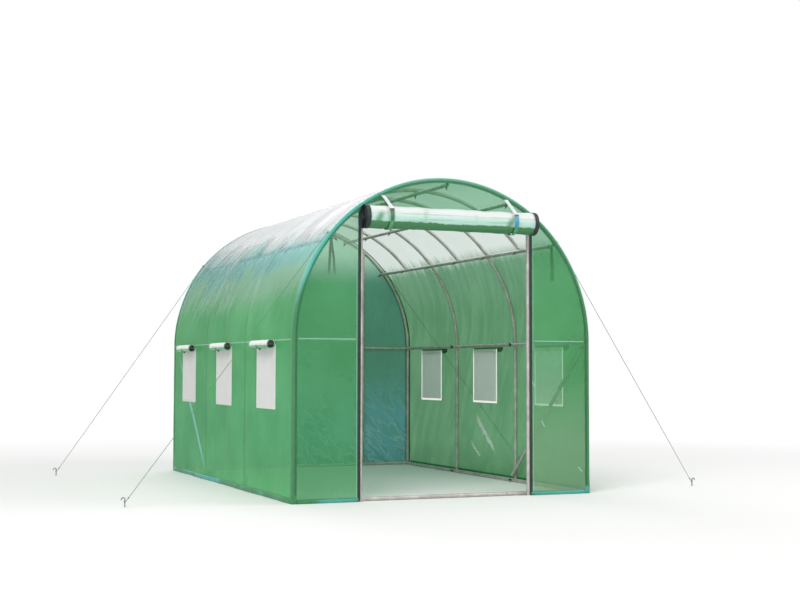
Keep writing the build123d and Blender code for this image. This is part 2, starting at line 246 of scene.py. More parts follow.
def gable_film(name, shade, body, tint, stitch_and_highlight, cover, depth, crumpled):
    """The film of a gable. A crumpled one shows painted white highlights on creases near the
    ground, strongest from the inside.
    """
    recipe = Recipe(name)
    x, _, height = recipe.along()
    haze = recipe.noise(1.7, detail=4.0)
    folds = recipe.noise(5.0, stretch=(2.2, 1, 0.5), lean=0.5, detail=4.0, distortion=0.7)
    raised = folds * 0.6
    # A painted highlight where the waist rail lies behind the film, and a stitched line beside the
    # door
    rail = height.near(waist_z + 0.004, 0.002, 0.005)
    rail = rail * abs(x).between(0.600, 0.610) * abs(x).fading(0.962, 0.970)
    stitches = abs(x).near(door_post_x + 0.029, 0.001, 0.004)
    marks = (rail * 0.65).most(stitches * 0.5)
    if crumpled:
        slanting = recipe.node("CombineXYZ", {"X": (x + height) * 3.2, "Z": (height - x) * 0.9})
        wrinkles = recipe.node("TexNoise", {"Vector": slanting, "Scale": 2.8, "Detail": 3.0,
                                            "Roughness": 0.5, "Distortion": 0.4})
        inside = recipe.inside()
        low = height.fading(0.35, 0.85)
        raised = raised + wrinkles * low
        # Painted highlights along the creases, stronger when seen from the inside
        crease_highlight = (1.0 - abs(wrinkles - 0.5) * 20.0).most(0.0) * (inside * 0.6 + 0.4)
        marks = marks.most(low * crease_highlight * (0.35 + height.fading(0.25, 0.50) * 0.20))
        # Bluer low down, more so seen from the inside
        bluer = low * (wrinkles.between(0.2, 0.8) * 0.7 + 0.3) * (inside * 0.45 + 0.55)
        low_colour = (bluer, (0.13, 0.47, 0.68))
        # Painted light: paler and clearer towards the top
        lit, lit_tint, thinned = height.between(1.50, 1.80), (0.56, 0.78, 0.66), 0.42
    else:
        # Greyer low down on the right
        low_colour = (height.fading(0.30, 0.85) * x.between(0.50, 0.55), (0.27, 0.48, 0.28))
        # Painted light: the upper left corner paler and clearer
        corner = height.between(1.28, 1.48) * x.fading(-0.62, -0.58)
        lit, lit_tint, thinned = corner, (0.56, 0.71, 0.60), 0.27
        bent = height + (folds - 0.5) * 0.06
        for glint in (((0.655, 0.474), (0.683, 0.429), 0.010),
                      ((0.920, 0.170), (0.959, 0.124), 0.010),
                      ((0.577, 0.740), (0.612, 0.676), 0.012)):
            marks = marks.most(straight_mark(x, bent, *glint) * 0.7)
    pale = recipe.layers(shade, (haze.between(0.3, 0.7), body), low_colour,
                         (lit, (0.46, 0.76, 0.56)), (marks, stitch_and_highlight))
    thinner = (height.between(1.40, 1.70) * 0.22).most(lit * thinned)
    share = (haze - 0.5) * 0.12 + marks * 0.3 + cover - thinner
    relief = recipe.bump(raised, depth)
    tint = recipe.blend(lit, tint, lit_tint)
    return film(recipe, pale, tint, share, 0.25, 0.13 + haze * 0.14, relief)


def cover_film():
    """The film of walls and roof: green sides, with teal shoulders and a milky roof in painted sky
    light and reflection.
    """
    recipe = Recipe("cover_film")
    x, y, height = recipe.along()
    haze = recipe.noise(1.9, detail=4.0)
    folds = recipe.noise(8.0, stretch=(0.30, 2.2, 0.30), lean=0.45, roughness=0.5, distortion=0.2)
    clouds = haze.between(0.3, 0.7)
    inside = recipe.inside()
    right = x.between(-0.5, 0.5)
    left = 1.0 - right
    near_door = y.fading(-1.1, -0.3)

    # How far up the arch a point is, with the wrinkles of the left shoulder in it
    level = height - leg_height + (haze - 0.5) * 0.16 * (1.0 - right * 0.8) - right * 0.015
    rearwards = (y.between(-0.9, 0.5) * 0.85 + 0.15) * (1.0 - right * 0.8)
    at_shoulder = level.between(0.08, 0.30) * level.fading(0.70, 0.86) * rearwards
    folded = level + (folds - 0.5) * at_shoulder * 0.7
    teal_share = 1.0 - right * 0.9
    roof_share = folded.between(0.45, 0.68)

    # Painted light and shade at the tubes: painted shade at the middle hoops and under the purlin,
    # a painted sheen on the brace, a painted highlight on the waist rail; painted highlights on
    # shoulder creases, and painted glints inside the right wall
    hoop_shade = abs(y - (hoop_ys[1] + hoop_ys[2]) / 2).near(bay / 2, 0.008, 0.014) * left * 0.5
    brace = straight_mark(y, height, (1.435, 0.926), (0.540, 0.030), 0.050) * left * 0.85
    purlin = height.near(leg_height + shoulder_height - 0.032, 0.003, 0.009) * left
    rail = height.near(waist_z, 0.002, 0.005) * 0.7
    crease_highlights = (1.0 - abs(folds - 0.56) * 26.0).most(0.0) * at_shoulder.between(0.3, 0.8) * 0.45
    wavy = height + (folds - 0.5) * 0.05
    glints = straight_mark(y, wavy, (0.294, 0.479), (-0.090, 0.169), 0.048).most(
        straight_mark(y, wavy, (0.365, 0.256), (0.158, 0.132), 0.024)) * right * inside

    # The solid colour
    left_wall = recipe.blend(clouds, (0.11, 0.55, 0.19), (0.17, 0.67, 0.27))
    # The right wall is the left wall's green painted darker: painted shade
    right_wall_shaded = recipe.blend(clouds, (0.07, 0.33, 0.11), (0.10, 0.40, 0.15))
    # Painted sky light and reflection: a pale roof, paler on the right, with painted shade near the
    # door on the left
    left_roof = recipe.blend(near_door, (0.41, 0.44, 0.45), (0.28, 0.30, 0.31))
    roof = recipe.blend(right, left_roof, (0.54, 0.57, 0.58))
    # The grey and teal bands at the left shoulder are painted sky reflection
    body = recipe.layers(left_wall, (right, right_wall_shaded), (hoop_shade, (0.04, 0.34, 0.10)),
                         (folded.between(0.18, 0.36) * teal_share, (0.34, 0.66, 0.42)),
                         (folded.between(0.41, 0.54) * teal_share, (0.18, 0.50, 0.56)),
                         (folded.between(0.57, 0.69), roof), (brace, (0.26, 0.66, 0.66)),
                         (purlin * y.fading(-0.3, 0.6) * 0.8, (0.12, 0.58, 0.62)),
                         (rail.most(crease_highlights), (0.55, 0.82, 0.66)), (glints, (0.92, 0.94, 0.92)))

    # The tint of what is seen through it
    # Painted shade: from the inside the right wall is tinted darker, lighter and darker with its
    # creases, and the left roof's tint is darker near the door
    crease_shading = (folds * 0.5 + haze * 0.5).between(0.40, 0.62)
    inner_tint = recipe.blend(crease_shading, (0.155, 0.35, 0.20), (0.22, 0.44, 0.26))
    right_tint = recipe.blend(inside, (0.24, 0.54, 0.31), inner_tint)
    left_tint = recipe.blend(near_door, (0.95, 0.97, 0.96), (0.80, 0.83, 0.83))
    roof_tint = recipe.blend(right, left_tint, (0.85, 0.93, 0.89))
    tint = recipe.layers((0.27, 0.62, 0.35), (right, right_tint),
                         (folded.between(0.20, 0.46) * teal_share, (0.46, 0.74, 0.66)),
                         (folded.between(0.55, 0.67), roof_tint))
    # More solid high on the left, so that the painted reflection shows
    milky = folded.between(0.56, 0.74) * left * 0.38 - roof_share * 0.24
    cover = (haze - 0.5) * 0.12 + 0.45 + milky + rail * 0.2 + glints * 0.6 + brace * 0.3
    relief = recipe.bump(folds * (at_shoulder * 0.95 + 0.03), 0.030)
    dull = 0.34 - level.between(0.1, 0.4) * 0.18 + haze * 0.10
    return film(recipe, body, tint, cover, 0.14 + roof_share * 0.40, dull, relief)


def hem_tape():
    """The doubled film of the hems: a pale rim of painted highlight, a dark inner edge of painted
    hoop shadow, the hoop showing through.
    """
    recipe = Recipe("hem_tape")
    x, _, height = recipe.along()
    haze = recipe.noise(12.0)
    above = (height - leg_height).most(0.0)
    radius = (x * x + above * above) ** 0.5
    arched = radius.between(0.970, 0.974) * height.between(0.04, 0.06)
    # A painted cyan reflection on the left shoulder, and painted cyan glints along the foot
    shoulder = x.fading(-0.60, -0.25) * height.between(1.15, 1.40)
    foot_glints = recipe.noise(1.6, detail=2.0).between(0.44, 0.54) * height.fading(0.04, 0.06)
    risen = height.between(1.1, 1.4)
    hoop = arched * radius.near(hoop_radius, 0.002, 0.006) * (1.0 - shoulder) * 0.7
    inner = arched * radius.fading(cover_radius - 0.0175, cover_radius - 0.0125) * 0.85
    rim = arched * radius.between(cover_radius - 0.007, cover_radius - 0.003) * (risen * 0.8 + 0.05)
    green = recipe.blend(haze, (0.10, 0.40, 0.17), (0.15, 0.50, 0.25))
    cyan = recipe.blend(haze, (0.12, 0.62, 0.62), (0.26, 0.80, 0.78))
    body = recipe.layers(green, (height.between(1.70, 1.90), (0.24, 0.60, 0.44)),
                         (shoulder.most(foot_glints), cyan), (hoop, (0.25, 0.33, 0.20)),
                         (inner, (0.06, 0.27, 0.12)), (rim, (0.34, 0.76, 0.64)))
    tint = recipe.blend(risen, (0.34, 0.68, 0.42), (0.56, 0.86, 0.72))
    return film(recipe, body, tint, 0.46, 0.3, 0.2 + haze * 0.1, recipe.bump(haze, 0.002))


def window_mesh():
    """White insect mesh: a square weave with small holes."""
    recipe = Recipe("window_mesh")
    _, y, z = recipe.along()
    half_turns = math.pi / 0.0022
    threads = abs((y * half_turns).sine()).most(abs((z * half_turns).sine()))
    haze = recipe.noise(7.0, detail=2.0)
    base = recipe.blend(haze, (0.74, 0.73, 0.72), (0.84, 0.83, 0.82))
    holes = {"Alpha": 0.78 + threads.between(0.55, 0.8) * 0.2}
    relief = recipe.bump(threads, 0.0004)
    return recipe.finish(recipe.surface(base, 0.6 + haze * 0.1, relief, holes))


def woven(name, light, dark, pitch=0.0016, roughness=0.55, thin=0.0):
    """Woven tape: a fine diagonal rib, worn in places. Thin cloth lets light through."""
    recipe = Recipe(name)
    x, y, z = recipe.along()
    turn = 2 * math.pi / pitch
    ribs = ((x + z) * turn).sine() * 0.5 + ((y - z) * turn).sine() * 0.5
    wear = recipe.noise(30.0)
    base = recipe.blend((wear + ribs * 0.12).between(0.25, 0.75), dark, light)
    cloth = recipe.surface(base, roughness + wear * 0.15, recipe.bump(ribs, 0.0003))
    if thin:
        lit = recipe.node("BsdfTranslucent", {"Color": light})
        cloth = recipe.mix(recipe.inside() * 0.6 + thin, cloth, lit)
    return recipe.finish(cloth)


def rolled_film(name, centre_z, radius, pale, milky, green, turned=-0.43, folds=()):
    """Film in many layers: pale on top as a painted reflection, milky with thin lines at the side,
    green underneath.
    """
    recipe = Recipe(name)
    x, _, z = recipe.along()
    wave = recipe.noise(5.0, detail=4.0)
    pleats = recipe.noise(24.0, stretch=(1, 1, 0.3), detail=4.0, distortion=0.8)
    level = (z - centre_z) / radius + (wave - 0.5) * 0.30 + (pleats - 0.5) * 0.24
    lines = recipe.noise(6.0, stretch=(0.35, 16.0, 16.0), detail=2.0, distortion=0.2)
    lines = lines.between(0.52, 0.62)
    # Painted shade: darker patches in its folds, and darker where the straps pinch the roll
    fold_shade = recipe.noise(7.0, stretch=(1.8, 1, 0.8), detail=2.0).between(0.54, 0.80) * 0.35
    for fold in folds:
        near = (x - fold).near((z - centre_z) * 0.45, 0.0, 0.040)
        fold_shade = fold_shade.most(near * level.fading(0.0, 0.6) * 0.95)
    upper = recipe.layers(milky, (level.between(-0.15, 0.30), pale),
                          (lines * level.fading(0.25, 0.45) * 0.30, green),
                          (fold_shade, recipe.blend(0.80, milky, green)))
    base = recipe.blend(level.between(turned - 0.04, turned + 0.04), green, upper)
    relief = recipe.bump(pleats * 0.35 + wave * 0.4, 0.005)
    return recipe.finish(recipe.surface(base, 0.22 + wave * 0.18, relief))


def plain(name, light, dark, roughness, metallic=0.0):
    """Moulded plastic or painted metal, slightly cloudy and slightly pitted."""
    recipe = Recipe(name)
    clouds = recipe.noise(60.0)
    pits = recipe.noise(480.0, detail=2.0)
    base = recipe.blend(clouds.between(0.3, 0.7), dark, light)
    relief = recipe.bump(pits, 0.0003)
    shader = recipe.surface(base, roughness + clouds * 0.12, relief, {"Metallic": metallic})
    return recipe.finish(shader)


steel = galvanised_steel()
cover_green = cover_film()
gable_green = gable_film("gable_film", (0.09, 0.38, 0.13), (0.13, 0.46, 0.19), (0.48, 0.70, 0.58),
                         (0.42, 0.78, 0.68), 0.47, 0.010, crumpled=False)
# The rear film is the same film painted darker: painted shade
rear_green = gable_film("rear_film", (0.06, 0.27, 0.15), (0.09, 0.34, 0.24), (0.13, 0.32, 0.24),
                        (0.50, 0.78, 0.86), 0.70, 0.024, crumpled=True)
teal_binding = hem_tape()
white_mesh = window_mesh()
white_tape = woven("white_tape", (0.92, 0.91, 0.86), (0.80, 0.80, 0.75), thin=0.25)
zip_cloth = woven("zip_cloth", (0.022, 0.038, 0.037), (0.010, 0.016, 0.016), 0.0012, 0.5)
zip_plastic = plain("zip_plastic", (0.035, 0.038, 0.037), (0.02, 0.022, 0.022), 0.3)
webbing = woven("white_webbing", (0.82, 0.88, 0.86), (0.62, 0.70, 0.68))
green_band = woven("green_band", (0.06, 0.28, 0.13), (0.03, 0.16, 0.08))
blue_band = woven("blue_band", (0.06, 0.42, 0.60), (0.04, 0.30, 0.46))
under_band = woven("under_band", (0.14, 0.46, 0.22), (0.08, 0.34, 0.14))
buckle_plastic = plain("buckle_plastic", (0.42, 0.24, 0.23), (0.26, 0.14, 0.14), 0.35)
dark_tie = woven("dark_tie", (0.012, 0.13, 0.04), (0.008, 0.09, 0.028))
bolt_steel = plain("bolt_steel", (0.10, 0.10, 0.10), (0.05, 0.05, 0.05), 0.32, metallic=0.8)
door_film = rolled_film("door_film", roll_z, roll_radius, (0.68, 0.73, 0.71), (0.46, 0.72, 0.62),
                        (0.05, 0.22, 0.08), folds=(-0.505, 0.37))
flap_film = rolled_film("flap_film", flap_z, flap_radius, (0.88, 0.88, 0.86), (0.70, 0.82, 0.76),
                        (0.10, 0.44, 0.18), turned=-0.25)
rope_twine = woven("rope_twine", (0.14, 0.34, 0.18), (0.10, 0.25, 0.13), 0.003)
peg_coat = plain("peg_coat", (0.36, 0.37, 0.37), (0.22, 0.23, 0.23), 0.35, metallic=0.7)


# Modelling steps that every piece uses

def set_mode(mode):
    """Goes into edit mode or out of it."""
    bpy.ops.object.mode_set(mode=mode)


def start(name, add, **size):
    """Adds a primitive with nothing else selected, names it and goes into its edit mode."""
    bpy.ops.object.select_all(action="DESELECT")
    bpy.context.tool_settings.mesh_select_mode = (True, False, False)
    add(**size)
    piece = bpy.context.active_object
    piece.name = piece.data.name = name
    set_mode("EDIT")
    return piece


def start_ring(name, radius, thickness, segments, around, **placing):
    """A closed ring of twine or rope."""
    piece = start(name, bpy.ops.mesh.primitive_torus_add, major_segments=segments,
                  minor_segments=around, major_radius=radius, minor_radius=thickness, **placing)
    return close(piece, 60)


def pick(piece, test, kind="verts"):
    """In edit mode, selects the vertices, edges or faces that pass the test, and nothing else."""
    shape = bmesh.from_edit_mesh(piece.data)
    bpy.ops.mesh.select_all(action="DESELECT")
    bpy.context.tool_settings.mesh_select_mode = (kind == "verts", kind == "edges", kind == "faces")
    shape.select_mode = {{"verts": "VERT", "edges": "EDGE", "faces": "FACE"}[kind]}
    for item in getattr(shape, kind):
        item.select_set(bool(test(item)))
    shape.select_flush_mode()
    bmesh.update_edit_mesh(piece.data)


def pick_all():
    """In edit mode, selects everything."""
    bpy.ops.mesh.select_all(action="SELECT")


def pull(x=0.0, y=0.0, z=0.0):
    """Extrudes what is selected by this much."""
    bpy.ops.mesh.extrude_region_move(TRANSFORM_OT_translate={"value": (x, y, z)})


def widen(factor, centre):
    """Scales what is selected about a centre. A single number is the same in every direction."""
    factors = factor if isinstance(factor, tuple) else (factor,) * 3
    bpy.ops.transform.resize(value=factors, center_override=centre)


def fill_ends(piece, rim):
    """Closes the open ends of a tube and leaves their caps picked, inset by a rim."""
    pick(piece, lambda edge: edge.is_boundary, "edges")
    bpy.ops.mesh.edge_face_add()
    pick_all()
    bpy.ops.mesh.normals_make_consistent(inside=False)
    pick(piece, is_cap, "faces")
    bpy.ops.mesh.inset(thickness=rim, use_individual=True)


def is_cap(face):
    """True for the face at the end of a tube, the only kind with more than four corners."""
    return len(face.verts) > 4


def cap_ends(piece):
    """Closes the ends of a tube with a rim as wide as its wall and a short way down the bore."""
    fill_ends(piece, tube_wall)
    pick(piece, is_cap, "faces")
    bpy.ops.mesh.inset(thickness=0.0, depth=-bore_depth, use_individual=True)


def close(piece, smooth=35.0):
    """Leaves edit mode with the doubles merged, faces outwards, and the place put into the mesh."""
    pick_all()
    bpy.ops.mesh.remove_doubles(threshold=0.00001)
    bpy.ops.mesh.normals_make_consistent(inside=False)
    set_mode("OBJECT")
    bpy.ops.object.transform_apply(location=True, rotation=True, scale=True)
    bpy.ops.object.shade_smooth_by_angle(angle=math.radians(smooth))
    return piece


def choose(*pieces):
    """In object mode, selects these pieces and nothing else, with the first one active."""
    bpy.ops.object.select_all(action="DESELECT")
    for piece in pieces:
        piece.select_set(True)
    bpy.context.view_layer.objects.active = pieces[0]


def apply_modifier(piece, kind, **settings):
    """Adds a modifier to a piece and applies it."""
    choose(piece)
    modifier = piece.modifiers.new(kind.lower(), kind)
    for setting, value in settings.items():
        setattr(modifier, setting, value)
    bpy.ops.object.modifier_apply(modifier=modifier.name)
    return piece


def thicken(sheet, thickness, smooth=None, offset=0.0):
    """Gives a sheet its thickness, and new smooth shading if an angle is given."""
    apply_modifier(sheet, "SOLIDIFY", thickness=thickness, offset=offset)
    if smooth:
        bpy.ops.object.shade_smooth_by_angle(angle=math.radians(smooth))
    return sheet


def repeat_up(piece, count, step, **settings):
    """Repeats a piece upwards, a step apart."""
    return apply_modifier(piece, "ARRAY", count=count, use_relative_offset=False,
                          use_constant_offset=True, constant_offset_displace=(0, 0, step),
                          **settings)


def copied(piece, name, placing):
    """A copy of a piece, with its own mesh moved into place."""
    copy = bpy.data.objects.new(name, piece.data.copy())
    copy.data.name = name
    copy.data.transform(placing)
    if placing.determinant() < 0:
        copy.data.flip_normals()
    bpy.context.collection.objects.link(copy)
    return copy


def join(name, pieces):
    """Several pieces as one mesh."""
    choose(*pieces)
    bpy.ops.object.join()
    pieces[0].name = pieces[0].data.name = name
    return pieces[0]


def fit(piece, material, slot, *nodes):
    """Gives a piece its material, puts it on the frame and hides the parts it stands for. The slot
    is not used.
    """
    piece.data.materials.clear()
    piece.data.materials.append(material)
    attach(piece, "root")
    if nodes:
        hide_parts(*nodes)
    return piece


# Steel tubes

tube_sides = 24
tube_wall = 0.0012
bore_depth = 0.012
seam_width = 0.0012
seam_depth = 0.955
seam_gap = 0.04
coped = tube_radius * 0.9


def tube_ring(name, place, direction, radius=tube_radius):
    """The first ring of a tube, facing along its run, in edit mode."""
    turn = direction.to_track_quat("Z", "Y").to_euler()
    return start(name, bpy.ops.mesh.primitive_circle_add, vertices=tube_sides, radius=radius,
                 fill_type="NOTHING", location=place, rotation=turn)


def run_on(here, there):
    """Pulls the ring of a tube from here to there."""
    pull(*(there - here))
    return there


def seam(here, direction):
    """The narrow groove where one tube of a run is pushed into the next."""
    here = run_on(here, here + direction * seam_width / 4)
    widen(seam_depth, here)
    here = run_on(here, here + direction * seam_width)
    here = run_on(here, here + direction * seam_width / 4)
    widen(1 / seam_depth, here)
    return here


def straight_tube(name, first, last, seams=()):
    """A straight tube from first to last, with seams at these shares of its length."""
    first, last = Vector(first), Vector(last)
    direction = (last - first).normalized()
    piece = tube_ring(name, first, direction)
    here = first
    for share in seams:
        here = seam(run_on(here, first.lerp(last, share)), direction)
    run_on(here, last)
    cap_ends(piece)
    return close(piece)


def arch_point(radius, angle, y):
    """A point on an arch of this radius, at an angle in radians up from the right spring."""
    return Vector((radius * math.cos(angle), y, leg_height + radius * math.sin(angle)))


def bend_on(here, y, angle):
    """Bends the ring of a tube on round the arch, from the left, by an angle."""
    steps = max(2, round(angle / math.radians(3.0)))
    centre = Vector((0.0, y, leg_height))
    bpy.ops.mesh.spin(steps=steps, angle=angle, center=centre, axis=(0, -1, 0))
    return Matrix.Rotation(angle, 3, "Y") @ (here - centre) + centre


def hoop_tube(name, y):
    """A hoop: a straight leg, four bent tubes pushed into each other, and the other leg."""
    up, hub = Vector((0, 0, 1)), Vector((0, y, leg_height))
    here = Vector((-hoop_radius, y, 0.0))
    piece = tube_ring(name, here, up)
    here = run_on(here, Vector((-hoop_radius, y, leg_height - seam_gap)))
    here = run_on(seam(here, up), Vector((-hoop_radius, y, leg_height)))
    turns = [math.radians(turn) for turn in (30.0, 60.0, 60.0, 30.0)]
    for number, turn in enumerate(turns):
        here = bend_on(here, y, turn)
        if number < 3:
            outward = (here - hub).normalized()
            back = here
            here = seam(here, Vector((outward.z, 0, -outward.x)))
            turns[number + 1] -= math.atan((here - back).length / hoop_radius)
    here = run_on(here, Vector((hoop_radius, y, leg_height - seam_gap)))
    run_on(seam(here, -up), Vector((hoop_radius, y, 0.0)))
    cap_ends(piece)
    return close(piece)


def rib_tube(name, y):
    """A roof rib: a bent tube whose two ends are pressed flat where they are bolted down."""
    end_overlap = 0.012
    low = shoulder_angle - math.asin(end_overlap / hoop_radius)
    high = math.pi - low
    flat, shoulder = math.radians(1.8), math.radians(0.8)
    here = arch_point(hoop_radius, high, y)
    piece = tube_ring(name, here, Vector((math.sin(high), 0, -math.cos(high))))
    for turn in (flat, shoulder, math.pi - 2 * low - 2 * (flat + shoulder), shoulder, flat):
        here = bend_on(here, y, turn)
    cap_ends(piece)
    hub = Vector((0, y, leg_height))
    for end, sense in ((high, 1), (low, -1)):
        for angle in (end, end - sense * flat):
            centre = arch_point(hoop_radius, angle, y)

            def pressed(vert):
                place = piece.matrix_world @ vert.co
                off = (place - hub).angle(centre - hub)
                return off < math.radians(0.75) and (place - centre).length < 0.03

            pick(piece, pressed)
            outward = (centre - hub).normalized()
            flatter = tuple(1 - 0.72 * abs(part) for part in outward)
            widen(flatter, centre - outward * tube_radius * 0.7)
    return close(piece)


def fit_tube(piece, *nodes):
    """Puts a tube of the frame in its place, in steel."""
    fit(piece, steel, "tube_steel", *nodes)


for place, y in zip(HOOPS, hoop_ys):
    fit_tube(hoop_tube(f"hoop_tube_{place}", y), f"hoop_{place}")
for place, y in zip(RIBS, rib_ys):
    fit_tube(rib_tube(f"rib_tube_{place}", y), f"roof_rib_{place}")

bay_seams = [(hoop_y + seam_gap - purlin_front) / (purlin_rear - purlin_front)
             for hoop_y in hoop_ys[1:-1]]
purlins = {
    "shoulder_purlin_right": shoulder_angle,
    "upper_purlin_right": upper_angle,
    "ridge_purlin": math.pi / 2,
    "upper_purlin_left": math.pi - upper_angle,
    "shoulder_purlin_left": math.pi - shoulder_angle,
}
for name, angle in purlins.items():
    fit_tube(straight_tube(f"{name}_tube", arch_point(inside_radius, angle, purlin_front),
                           arch_point(inside_radius, angle, purlin_rear), bay_seams), name)

for place, y, post, post_x in (("front", front_y, "door_post", door_post_x),
                               ("rear", rear_y, "rear_post", rear_post_x)):
    rails = []
    top = leg_height + math.sqrt(hoop_radius**2 - post_x**2) - tube_radius
    for side_name, side in SIDES:
        fit_tube(straight_tube(f"{post}_tube_{side_name}", (side * post_x, y, 0),
                               (side * post_x, y, top), (0.52,)), f"{post}_{side_name}")
        rails.append(straight_tube("gable_rail", (side * (hoop_radius - coped), y, waist_z),
                                   (side * (post_x + coped), y, waist_z)))
    fit_tube(join(f"gable_rail_tubes_{place}", rails), f"gable_rails_{place}")
    cross_y = middle(f"base_rail_{place}", Y)
    reach = inside_radius - coped
    fit_tube(straight_tube(f"base_rail_tube_{place}", (-reach, cross_y, base_z),
                           (reach, cross_y, base_z), (0.5,)), f"base_rail_{place}")

for side_name, side in SIDES:
    rail_x = side * inside_radius
    fit_tube(straight_tube(f"waist_rail_tube_{side_name}", (rail_x, front_y + coped, waist_z),
                           (rail_x, rear_y - coped, waist_z), bay_seams), f"waist_rail_{side_name}")
    fit_tube(straight_tube(f"base_rail_tube_{side_name}", (rail_x, purlin_front, base_z),
                           (rail_x, purlin_rear, base_z), bay_seams), f"base_rail_{side_name}")
    low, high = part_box(f"side_brace_{side_name}")
    run = high - low
    lean = math.atan2(run.z, run.y)
    inset = Vector((0, tube_radius * math.sin(lean), tube_radius * math.cos(lean)))
    # The left brace rises towards the rear, the right one towards the front
    top_y, foot_y = (low.y + inset.y, high.y - inset.y)[::side]
    fit_tube(straight_tube(f"brace_tube_{side_name}", (rail_x, top_y, high.z - inset.z),
                           (rail_x, foot_y, low.z + inset.z)), f"side_brace_{side_name}")


# Bolts with wing nuts at the crossings

def bolt_part(name, sides, radius, depth, z):
    """A round part of a bolt, upright, with its middle at z."""
    return start(name, bpy.ops.mesh.primitive_cylinder_add, vertices=sides, radius=radius,
                 depth=depth, location=(0, 0, z))


def wing_bolt():
    """A bolt's end with a washer and a wing nut, pointing down from the underside of a purlin."""
    shank = close(bolt_part("wing_bolt", 10, 0.0028, 0.020, -0.009))
    washer = close(bolt_part("washer", 14, 0.0075, 0.0012, -0.0008))
    nut = bolt_part("wing_nut", 12, 0.0062, 0.007, -0.0052)
    for side in (-1, 1):
        pick(nut, lambda face: face.normal.x * side > 0.9 and abs(face.normal.z) < 0.1, "faces")
        pull(side * 0.005, 0, -0.003)
        widen((1, 0.8, 1.2), (side * 0.011, 0, -0.008))
        pull(side * 0.004, 0, -0.005)
        widen((1, 0.7, 0.9), (side * 0.015, 0, -0.013))
    return join("wing_bolt", [shank, washer, close(nut)])


def crossing(place, down, lengthwise):
    """The placing of a wing bolt that points down, with its wings near to a direction."""
    down, lengthwise = Vector(down).normalized(), Vector(lengthwise)
    across = lengthwise - down * lengthwise.dot(down)
    across.normalize()
    turned = Matrix((across, (-down).cross(across), -down)).transposed().to_4x4()
    return Matrix.Translation(place) @ turned


first_bolt = wing_bolt()
spots = []
for angle in purlins.values():
    outward = Vector((math.cos(angle), 0, math.sin(angle)))
    spots += [crossing(arch_point(inside_radius - tube_radius, angle, y), -outward, (0.4, 1, 0.3))
              for y in [*hoop_ys, *rib_ys]]
for side in (-1, 1):
    bolt_x = side * (inside_radius - tube_radius)
    spots += [crossing((bolt_x, y, waist_z), (-side, 0, 0), (0, 0.4, 1)) for y in hoop_ys[1:-1]]
    spots += [crossing((bolt_x, y, base_z + 0.002), (-side, 0, 0), (0, 1, 0.2)) for y in hoop_ys]
bolts = [copied(first_bolt, f"bolt_{number}", spot) for number, spot in enumerate(spots)]
bpy.data.objects.remove(first_bolt)
fit(join("wing_bolts", bolts), bolt_steel, "tube_steel")


# The film cover

def spread(stops, step):
    """Places from the first stop to the last, with every stop, no further apart than a step."""
    places = [stops[0]]
    for low, high in zip(stops, stops[1:]):
        count = max(1, math.ceil((high - low) / step - 0.001))
        places += [low + (high - low) * number / count for number in range(1, count + 1)]
    return np.array(places)


def in_rows(x, y, z):
    """Places in rows, from their three coordinates."""
    return np.stack([x, y, z], axis=-1)


def cloth_noise(u, v, seed):
    """Smooth noise from -1 to 1 over two coordinates, the same at every run."""
    column, row = np.floor(u), np.floor(v)
    across, up = u - column, v - row
    across, up = across**2 * (3 - 2 * across), up**2 * (3 - 2 * up)

    def corner(right, above):
        phase = (column + right) * 12.9898 + (row + above) * 78.233 + seed * 37.719
        scattered = np.sin(phase) * 4375.85
        return (scattered - np.floor(scattered)) * 2 - 1

    low = corner(0, 0) * (1 - across) + corner(1, 0) * across
    high = corner(0, 1) * (1 - across) + corner(1, 1) * across
    return low * (1 - up) + high * up


def ridges(u, v, seed):
    """Sharp folds from 0 to 1: noise folded at its middle."""
    return (1 - np.abs(cloth_noise(u, v, seed))) ** 3


def smooth_step(value, low, high):
    """0 below low, 1 above high, and smooth between."""
    share = np.clip((value - low) / (high - low), 0, 1)
    return share**2 * (3 - 2 * share)


half_turn = math.pi * cover_radius
girth = 2 * leg_height + half_turn
window_size = window_high.z - window_low.z
window_sill = window_low.z
window_count = 3
window_ys = [(window_low.y + window_size / 2) + bay * number for number in range(window_count)]


def round_arch(along):
    """How far round the arch a place is, from the left spring, and how far below the springs."""
    turn = np.clip((along - leg_height) / cover_radius, 0, math.pi)
    return turn, np.minimum(np.minimum(along, girth - along) - leg_height, 0)


